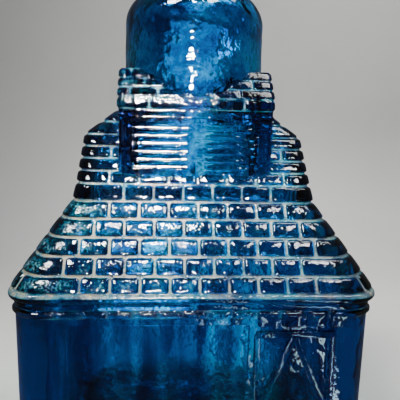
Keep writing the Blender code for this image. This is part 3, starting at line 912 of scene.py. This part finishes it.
def glass_object():
    """The whole bottle: walls and roof, tower and dome joined, then the rooms cut out."""
    levels = wall_levels() + dentil_levels() + eave_levels() + roof_levels()
    body = stack_object("glass_house", levels)
    combine(body, wall_cutters(), "DIFFERENCE")
    tower = stack_object("tower", tower_levels())
    windows = [louvre_cutter(facing, hand) for facing in (-1, 1) for hand in (-1, 1)]
    combine(tower, windows, "DIFFERENCE")
    dome = dome_object()
    for waves in DOME_WAVES:
        wave_surface(dome, *waves)
    combine(body, [tower, dome] + door_bars() + door_row(), "UNION")
    house = house_cavity()
    wave_surface(house, *ROOM_WAVES)
    dome_room = dome_cavity()
    wave_surface(dome_room, *DOME_ROOM_WAVES)
    tower_room = tower_cavity()
    wave_surface(tower_room, *DOME_ROOM_WAVES)
    combine(body, [push_up_object(), house, dome_room, tower_room], "DIFFERENCE")
    body.data.shade_smooth()
    body.data.set_sharp_from_angle(angle=math.radians(GLASS_SHARP))
    body.name = "glass_house"
    return body


def cork_object():
    """Cork from the CAD node's own size, with rounded ends and small pits."""
    low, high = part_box("cork_stopper")
    length = high[2] - low[2]
    top_radius = (high[0] - low[0]) / 2
    bottom_radius = top_radius * CORK_TAPER
    seat_radius = NECK_BORE - CORK_CLEARANCE
    edge = CORK_EDGE
    chamfer = edge * 0.3
    profile = [(bottom_radius - edge, 0.0), (bottom_radius - chamfer, chamfer), (bottom_radius, edge)]
    for step in range(1, CORK_STEPS):
        share = step / CORK_STEPS
        if share < CORK_SEAT:
            radius = bottom_radius + (seat_radius - bottom_radius) * share / CORK_SEAT
        else:
            above = (share - CORK_SEAT) / (1 - CORK_SEAT)
            radius = seat_radius + (top_radius - seat_radius) * above
        profile.append((radius, edge + (length - 2 * edge) * share))
    profile += [(top_radius, length - edge), (top_radius - chamfer, length - chamfer)]
    profile += [((top_radius - edge) * share, length) for share in CORK_TOP_SHARES]
    raised = [(radius, low[2] + height) for radius, height in profile]
    cork = turned_object("cork", raised, CORK_TURNED_STEPS)
    for vert in cork.data.vertices:
        rough = noise.noise(vert.co * CORK_PIT_SCALE) - CORK_PIT_LEAST
        pit = max(0.0, rough) * CORK_PIT
        flat = Vector((vert.co.x, vert.co.y, 0.0))
        if flat.length > CORK_CENTRE:
            vert.co -= flat.normalized() * pit
        if vert.co.z > high[2] - edge * 0.5:
            vert.co.z -= pit
    cork.data.shade_smooth()
    cork.data.set_sharp_from_angle(angle=math.radians(CORK_SHARP))
    return cork


# Materials


class Graph:
    """Small helper that adds and links shader nodes."""

    def __init__(self, name):
        self.material = bpy.data.materials.new(name)
        self.material.use_nodes = True
        self.nodes = self.material.node_tree.nodes
        self.links = self.material.node_tree.links
        self.shader = self.nodes["Principled BSDF"]
        self.place = self.add("ShaderNodeTexCoord", {}).outputs["Object"]

    def feed(self, node, inputs):
        """Sets a node's inputs, found by name or index, to numbers and colours or links them."""
        for key, value in inputs.items():
            if isinstance(value, (int, float, tuple)):
                node.inputs[key].default_value = value
            else:
                self.links.new(value, node.inputs[key])

    def add(self, kind, inputs, **settings):
        node = self.nodes.new(kind)
        for key, value in settings.items():
            setattr(node, key, value)
        self.feed(node, inputs)
        return node

    def attribute(self, name):
        return self.add("ShaderNodeAttribute", {}, attribute_name=name).outputs["Fac"]

    def noise(self, scale, detail=2.0, source=None):
        inputs = {"Scale": scale, "Detail": detail, "Vector": source or self.place}
        return self.add("ShaderNodeTexNoise", inputs).outputs["Fac"]

    def upright(self, scale):
        """Object coordinates with scaled heights, for a texture drawn out upright."""
        inputs = {"Scale": (1.0, 1.0, scale), "Vector": self.place}
        return self.add("ShaderNodeMapping", inputs).outputs["Vector"]

    def math(self, operation, first, second):
        return self.add("ShaderNodeMath", {0: first, 1: second}, operation=operation).outputs[0]

    def weighted(self, first, first_weight, second, second_weight):
        first = self.math("MULTIPLY", first, first_weight)
        return self.math("ADD", first, self.math("MULTIPLY", second, second_weight))

    def ramp(self, source, stops):
        node = self.add("ShaderNodeValToRGB", {"Fac": source})
        elements = node.color_ramp.elements
        while len(elements) < len(stops):
            elements.new(0.5)
        for element, (place, colour) in zip(elements, stops):
            element.position = place
            element.color = (*colour, 1.0)
        return node.outputs["Color"]

    def mask(self, source, low, high, first=0.0, last=1.0):
        """Grey ramp from the first value at low to the last value at high."""
        return self.ramp(source, [(low, (first,) * 3), (high, (last,) * 3)])

    def mix(self, share, first, second, blend="MIX"):
        """Mix of two colours; the node's colour sockets are the inputs 6 and 7 and the output 2."""
        settings = {"data_type": "RGBA", "blend_type": blend}
        return self.add("ShaderNodeMix", {0: share, 6: first, 7: second}, **settings).outputs[2]

    def bump(self, height, strength, distance, normal=None):
        inputs = {"Strength": strength, "Distance": distance, "Height": height}
        if normal is not None:
            inputs["Normal"] = normal
        return self.add("ShaderNodeBump", inputs).outputs["Normal"]


# Blue glass: a noise is (waves in a metre, detail), clouds are (waves in a metre, weight), a bump
# is (strength, distance) and a range is (low, high) of a mask
GLASS_IOR = 1.52
GLASS_SPECULAR = 0.36
ABSORPTION_COLOUR = (0.0, 0.785, 0.88, 1.0)
ABSORPTION_DENSITY = 560.0
PATCH_NOISE = (260.0, 3.0)
GRAIN_NOISE = (1500.0, 4.0)
SPECK_NOISE = (1700.0, 2.0)
FROST_UNEVENNESS = 1.2
JOINT_RANGE = (0.54, 1.06)
JOINT_SHARE = 0.62
SPECK_RANGE = (0.48, 0.62)
SPOT_RANGE = (0.40, 0.62)
WORN_RANGE = (0.35, 0.9)
SPECK_SHARE = 0.4
# Painted shade on the mortar: its share falls from the left to the right, away from the key light.
SHADED_RANGE = (0.20, 0.60)
SHADED_SHARE = 0.74
PLACE_SCALE = 10.0
BROAD_CLOUDS = (85.0, 0.55)
FINE_CLOUDS = (330.0, 0.45)
STREAK_NOISE = (130.0, 2.0)
STREAK_STRETCH = 0.12
STREAK_GAIN = 1.5
# Painted shade at the walls' ends: where the tint darkens towards the corners, and by how much.
WALL_END_RANGE = (0.33, 0.47)
WALL_END_SHADE = (0.30, 0.50)
WALL_TOP_RANGE = (0.60, 0.67)
GLASS_TINTS = (
    (0.37, (0.001, 0.11, 0.30)),
    (0.50, (0.002, 0.42, 0.71)),
    (0.64, (0.015, 0.76, 0.95)),
)
MORTAR_TINTS = ((0.3, (0.14, 0.128, 0.083)), (0.7, (0.34, 0.31, 0.21)))
CHALKINESS = 1.7
GLASS_ROUGHNESS = 0.03
MORTAR_ROUGHNESS = 0.45
BLOOM_ROUGHNESS = 0.04
WAVE_NOISE = (170.0, 2.0)
WAVE_BUMP = (0.5, 0.0006)
RIPPLE_NOISE = (620.0, 1.0)
RIPPLE_BUMP = (0.4, 0.00020)
PIT_NOISE = (1050.0, 2.0)
PIT_BUMP = (1.0, 0.00014)
PIT_LEAST = 0.04


def mortar_share(graph, frost, bloom_and_sheen, patches, across):
    """Share of mortar: uneven in the joints, less to the right as painted shade, and specks on worn
    faces that fade with the painted sheen.
    """
    uneven = graph.weighted(patches, 0.7, graph.noise(*GRAIN_NOISE), 0.3)
    shift = graph.math("MULTIPLY", graph.math("SUBTRACT", uneven, 0.5), FROST_UNEVENNESS)
    joint = graph.mask(graph.math("ADD", frost, shift), *JOINT_RANGE, last=JOINT_SHARE)
    # Painted shade: less mortar to the right, so the joints there look darker.
    right = graph.math("ADD", across, 0.5)
    shaded = graph.mask(right, *SHADED_RANGE, first=1.0, last=SHADED_SHARE)
    specks = graph.mask(graph.noise(*SPECK_NOISE), *SPECK_RANGE)
    spots = graph.mask(patches, *SPOT_RANGE)
    # Specks follow the bloom with its painted sheen, so they are densest at the front left.
    worn = graph.math("MULTIPLY", spots, graph.mask(bloom_and_sheen, *WORN_RANGE))
    speckled = graph.math("MULTIPLY", graph.math("MULTIPLY", specks, worn), SPECK_SHARE)
    return graph.math("MAXIMUM", graph.math("MULTIPLY", joint, shaded), speckled)


def glass_tint(graph, across, up):
    """Cloudy tint, drawn out into upright streaks on the walls, with painted shade darkening their
    ends.
    """
    broad, broad_weight = BROAD_CLOUDS
    fine, fine_weight = FINE_CLOUDS
    cloudy = graph.weighted(graph.noise(broad), broad_weight, graph.noise(fine), fine_weight)
    drawn = graph.noise(*STREAK_NOISE, graph.upright(STREAK_STRETCH))
    columns = graph.math("MULTIPLY", drawn, STREAK_GAIN)
    # Painted shade: the tint darkens towards the walls' ends, at the corners.
    ends = graph.mask(graph.math("ABSOLUTE", across, 0.0), *WALL_END_RANGE, *WALL_END_SHADE)
    streaks = graph.math("SUBTRACT", columns, ends)
    walls = graph.mask(up, *WALL_TOP_RANGE, first=1.0, last=0.0)
    depth = graph.weighted(cloudy, graph.math("SUBTRACT", 1.0, walls), streaks, walls)
    return graph.ramp(depth, GLASS_TINTS)


def glass_normal(graph, bloom_and_sheen):
    """Slow waves, finer ripples, and pits that are deepest where the faces are worn."""
    waves = graph.bump(graph.noise(*WAVE_NOISE), *WAVE_BUMP)
    ripples = graph.bump(graph.noise(*RIPPLE_NOISE), *RIPPLE_BUMP, waves)
    pitted = graph.math("MULTIPLY", graph.noise(*PIT_NOISE), graph.math("ADD", bloom_and_sheen, PIT_LEAST))
    return graph.bump(pitted, *PIT_BUMP, ripples)


def blue_glass():
    """Deep blue glass, darker where it is thicker, with mortar in the joints, painted shade on the
    right and at the walls' ends, and worn faces with a painted sheen.
    """
    graph = Graph("blue_glass")
    frost = graph.attribute("frost")
    bloom_and_sheen = graph.attribute("bloom_and_sheen")
    parts = graph.add("ShaderNodeSeparateXYZ", {"Vector": graph.place}).outputs
    across = graph.math("MULTIPLY", parts["X"], PLACE_SCALE)
    up = graph.math("MULTIPLY", parts["Z"], PLACE_SCALE)
    patches = graph.noise(*PATCH_NOISE)
    share = mortar_share(graph, frost, bloom_and_sheen, patches, across)
    chalky = graph.math("MINIMUM", graph.math("MULTIPLY", share, CHALKINESS), 1.0)
    tint = glass_tint(graph, across, up)
    mortar = graph.ramp(patches, MORTAR_TINTS)
    rough = graph.math("ADD", graph.math("MULTIPLY", share, MORTAR_ROUGHNESS), GLASS_ROUGHNESS)
    worn = graph.math("MULTIPLY", bloom_and_sheen, BLOOM_ROUGHNESS)
    graph.feed(graph.shader, {
        "Base Color": graph.mix(chalky, tint, mortar),
        "Metallic": 0.0,
        "Roughness": graph.math("ADD", rough, worn),
        "IOR": GLASS_IOR,
        "Specular IOR Level": GLASS_SPECULAR,
        "Transmission Weight": graph.math("SUBTRACT", 1.0, share),
        "Normal": glass_normal(graph, bloom_and_sheen),
    })
    medium = {"Color": ABSORPTION_COLOUR, "Density": ABSORPTION_DENSITY}
    volume = graph.add("ShaderNodeVolumeAbsorption", medium).outputs["Volume"]
    graph.feed(graph.nodes["Material Output"], {"Volume": volume})
    return graph.material


# Natural cork
CORK_SPECULAR = 0.25
CORK_STRETCH = 0.45
CORK_GRANULE_SCALE = 750.0
CORK_BODY_NOISE = (320.0, 6.0)
CORK_TINTS = (
    (0.25, (0.30, 0.17, 0.08)),
    (0.5, (0.50, 0.33, 0.18)),
    (0.75, (0.64, 0.45, 0.27)),
)
CORK_CELL_TINTS = ((0.0, (1.0, 1.0, 1.0)), (0.6, (0.72, 0.66, 0.6)))
CORK_CELL_SHARE = 0.6
CORK_HOLE_NOISE = (520.0, 5.0)
CORK_HOLE_RANGE = (0.62, 0.72)
CORK_HOLE_COLOUR = (0.10, 0.05, 0.025, 1.0)
CORK_ROUGH_NOISE = (400.0, 3.0)
CORK_ROUGH_SPREAD = 0.25
CORK_ROUGH_LEAST = 0.65
CORK_LUMP_NOISE = (600.0, 6.0)
CORK_LUMP_BUMP = (0.6, 0.0003)


def cork_material():
    """Pale cork of pressed granules with dark pores."""
    graph = Graph("natural_cork")
    stretched = graph.upright(CORK_STRETCH)
    inputs = {"Scale": CORK_GRANULE_SCALE, "Vector": stretched}
    granules = graph.add("ShaderNodeTexVoronoi", inputs).outputs["Distance"]
    body = graph.ramp(graph.noise(*CORK_BODY_NOISE, stretched), CORK_TINTS)
    cells = graph.ramp(granules, CORK_CELL_TINTS)
    speckled = graph.mix(CORK_CELL_SHARE, body, cells, "MULTIPLY")
    holes = graph.mask(graph.noise(*CORK_HOLE_NOISE), *CORK_HOLE_RANGE)
    rough = graph.math("MULTIPLY", graph.noise(*CORK_ROUGH_NOISE), CORK_ROUGH_SPREAD)
    graph.feed(graph.shader, {
        "Base Color": graph.mix(holes, speckled, CORK_HOLE_COLOUR),
        "Metallic": 0.0,
        "Roughness": graph.math("ADD", rough, CORK_ROUGH_LEAST),
        "Specular IOR Level": CORK_SPECULAR,
        "Normal": graph.bump(graph.noise(*CORK_LUMP_NOISE), *CORK_LUMP_BUMP),
    })
    return graph.material


# Pale floor
FLOOR_NOISE = (9.0, 4.0)
FLOOR_TINTS = ((0.3, (0.60, 0.60, 0.58)), (0.7, (0.66, 0.66, 0.64)))
FLOOR_ROUGHNESS = 0.6


def floor_material():
    graph = Graph("pale_floor")
    colour = graph.ramp(graph.noise(*FLOOR_NOISE), FLOOR_TINTS)
    graph.feed(graph.shader, {"Base Color": colour, "Roughness": FLOOR_ROUGHNESS})
    return graph.material


# Stage, lights and camera

STAGE_HALF_WIDTH = 1.5
STAGE_FRONT = -1.2
STAGE_BEND_Y = 0.22
STAGE_BEND = 0.12
STAGE_TOP = 1.6

WARM_LIGHT = (1.0, 0.98, 0.95)
COOL_LIGHT = (0.95, 0.98, 1.0)
STRIP_LIGHT = (0.70, 0.97, 1.0)
BOTTLE_MIDDLE = (0.0, 0.0, 0.10)
BACKDROP_MIDDLE = (0.25, 0.33, 0.12)
GLOW_Y = 0.10
LOUVRE_SPOT_X = -0.0115
STRIP_Y = -0.14
STRIP_SIZE = (0.004, 0.13)
WORLD_COLOUR = (0.75, 0.78, 0.80, 1.0)
WORLD_STRENGTH = 0.12


def stage_object():
    """Pale floor that curves up into a pale wall behind the bottle."""
    mesh = bmesh.new()
    profile = [(STAGE_FRONT, 0.0), (STAGE_BEND_Y, 0.0)]
    profile += arc_points(STAGE_BEND_Y, STAGE_BEND, STAGE_BEND, -80, 0, 8)
    profile.append((STAGE_BEND_Y + STAGE_BEND, STAGE_TOP))
    left = [mesh.verts.new((-STAGE_HALF_WIDTH, y, z)) for y, z in profile]
    right = [mesh.verts.new((STAGE_HALF_WIDTH, y, z)) for y, z in profile]
    for index in range(len(profile) - 1):
        mesh.faces.new((left[index], right[index], right[index + 1], left[index + 1]))
    made = linked_object(mesh, "stage")
    made.data.shade_smooth()
    made.data.materials.append(floor_material())
    made.visible_glossy = False


def area_light(name, place, target, size, energy, colour=(1.0, 1.0, 1.0), seen=True, spread=180.0):
    data = bpy.data.lights.new(name, "AREA")
    data.shape = "RECTANGLE"
    data.size = size[0]
    data.size_y = size[1]
    data.energy = energy
    data.color = colour
    data.spread = math.radians(spread)
    made = bpy.data.objects.new(name, data)
    bpy.context.scene.collection.objects.link(made)
    made.location = place
    aim = Vector(target) - Vector(place)
    made.rotation_euler = aim.to_track_quat("-Z", "Y").to_euler()
    made.visible_camera = seen


def glow(name, place, target_z, size, energy, colour):
    """Light behind the bottle, hidden from the camera but seen through the glass."""
    area_light(name, place, (0.0, 0.0, target_z), size, energy, colour, seen=False)


def strip(name, across, energy):
    """Narrow strip on the floor before the bottle, for a thin line of light on an edge."""
    place = (across, STRIP_Y, 0.002)
    target = (across, STRIP_Y + 0.001, 0.060)
    area_light(name, place, target, STRIP_SIZE, energy, STRIP_LIGHT, seen=False)


def lights():
    key = (-0.29, -0.22, 0.60)
    fill = (0.25, -0.30, 0.75)
    area_light("key", key, BOTTLE_MIDDLE, (0.20, 0.12), 0.43, WARM_LIGHT, spread=40.0)
    area_light("fill", fill, BOTTLE_MIDDLE, (0.16, 0.12), 0.12, COOL_LIGHT, spread=40.0)
    area_light("back", (0.25, 0.10, 0.60), BACKDROP_MIDDLE, (0.3, 0.3), 2.6)
    glow("dome_glow", (0.006, GLOW_Y, 0.150), 0.14, (0.034, 0.050), 0.013, (0.0, 1.0, 0.80))
    glow("dome_side_glow", (0.031, GLOW_Y, 0.160), 0.14, (0.005, 0.014), 0.0020, (0.0, 1.0, 0.95))
    glow("tower_glow", (0.020, GLOW_Y, 0.108), 0.11, (0.060, 0.030), 0.018, (0.0, 1.0, 0.70))
    glow("roof_glow", (-0.016, 0.11, 0.048), 0.08, (0.050, 0.030), 0.045, (0.0, 1.0, 0.62))
    tower_middle = (0.0, 0.0, 0.11)
    front = (-0.012, -0.20, 0.150)
    area_light("front_spot", front, tower_middle, (0.030, 0.008), 0.125, spread=60.0)
    louvres = (LOUVRE_SPOT_X, -TOWER_HALF_DEPTH, 0.108)
    above = (LOUVRE_SPOT_X, -0.109, 0.288)
    area_light("louvre_spot", above, louvres, (0.037, 0.020), 0.03, spread=20.0)
    strip("door_strip", 0.0656, 0.022)
    strip("panel_strip", 0.0242, 0.010)
    world = bpy.data.worlds.new("studio")
    world.use_nodes = True
    background = world.node_tree.nodes["Background"]
    background.inputs["Color"].default_value = WORLD_COLOUR
    background.inputs["Strength"].default_value = WORLD_STRENGTH
    bpy.context.scene.world = world


def camera():
    """Looks along +Y, turned to the right by the yaw, tipped down by the pitch, then rolled."""
    data = bpy.data.cameras.new("camera")
    data.sensor_width = 36.0
    data.lens = LENS
    data.clip_start = 0.01
    made = bpy.data.objects.new("camera", data)
    bpy.context.scene.collection.objects.link(made)
    forward = Vector((
        math.sin(CAMERA_YAW) * math.cos(CAMERA_PITCH),
        math.cos(CAMERA_YAW) * math.cos(CAMERA_PITCH),
        -math.sin(CAMERA_PITCH),
    ))
    level = forward.cross(Vector((0.0, 0.0, 1.0))).normalized()
    upright = level.cross(forward)
    right = level * math.cos(CAMERA_ROLL) + upright * math.sin(CAMERA_ROLL)
    up = upright * math.cos(CAMERA_ROLL) - level * math.sin(CAMERA_ROLL)
    turn = Matrix((right, up, -forward)).transposed()
    place = Vector(CAMERA_PLACE) + Vector((0.0, 0.0, EAVE_HEIGHT))
    made.matrix_world = Matrix.Translation(place) @ turn.to_4x4()
    bpy.context.scene.camera = made


def dress():
    glass = glass_object()
    glass.data.materials.clear()
    glass.data.materials.append(blue_glass())
    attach(glass, "bottle")
    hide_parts("glass_bottle")
    cork = cork_object()
    cork.data.materials.clear()
    cork.data.materials.append(cork_material())
    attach(cork, "stopper")
    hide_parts("cork_stopper")


camera()
lights()
stage_object()
dress()
